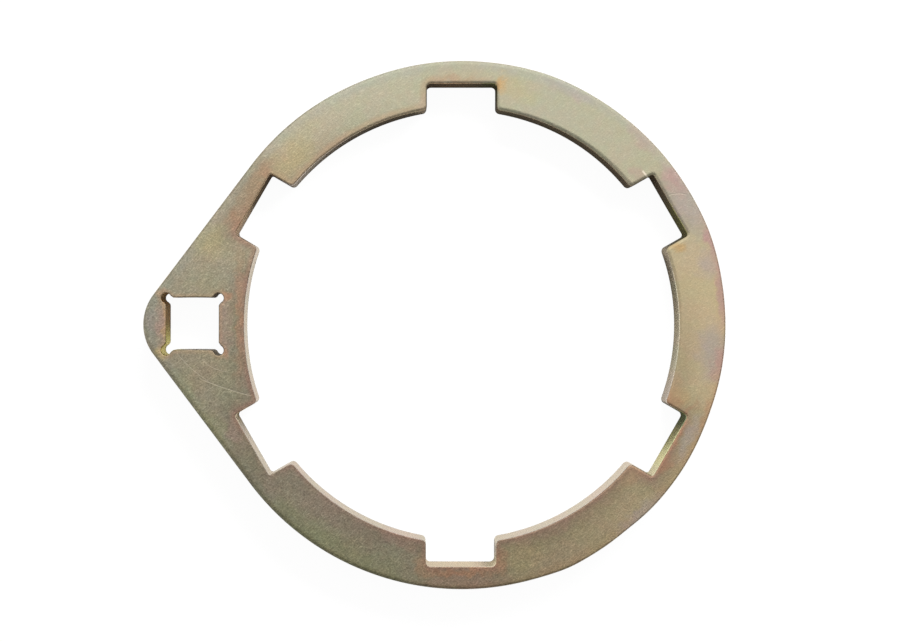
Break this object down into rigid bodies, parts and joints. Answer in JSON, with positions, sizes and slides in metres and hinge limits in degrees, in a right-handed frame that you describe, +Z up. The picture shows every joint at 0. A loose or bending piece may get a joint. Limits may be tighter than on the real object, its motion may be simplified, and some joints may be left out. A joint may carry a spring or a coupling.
{
  "type": "fuel filter wrench",
  "caption": "Flat steel ring wrench for a fuel filter cap: notched round opening, and a nose with a relieved square hole for a half-inch drive.",
  "frame": {"origin": "centre of the round opening, on the underside of the plate", "axes": "+Z up through the plate, out of the face that the picture shows; the nose with the square hole points to -X, and +Y is the picture's top side"},
  "size_m": [0.1433, 0.13, 0.006],
  "materials": {
    "yellow_zinc_steel": "zinc plated with yellow iridescent passivation, satin and slightly grainy"
  },
  "bodies": {
    "root": {"wrench_plate": "yellow_zinc_steel"}
  },
  "joints": []
}
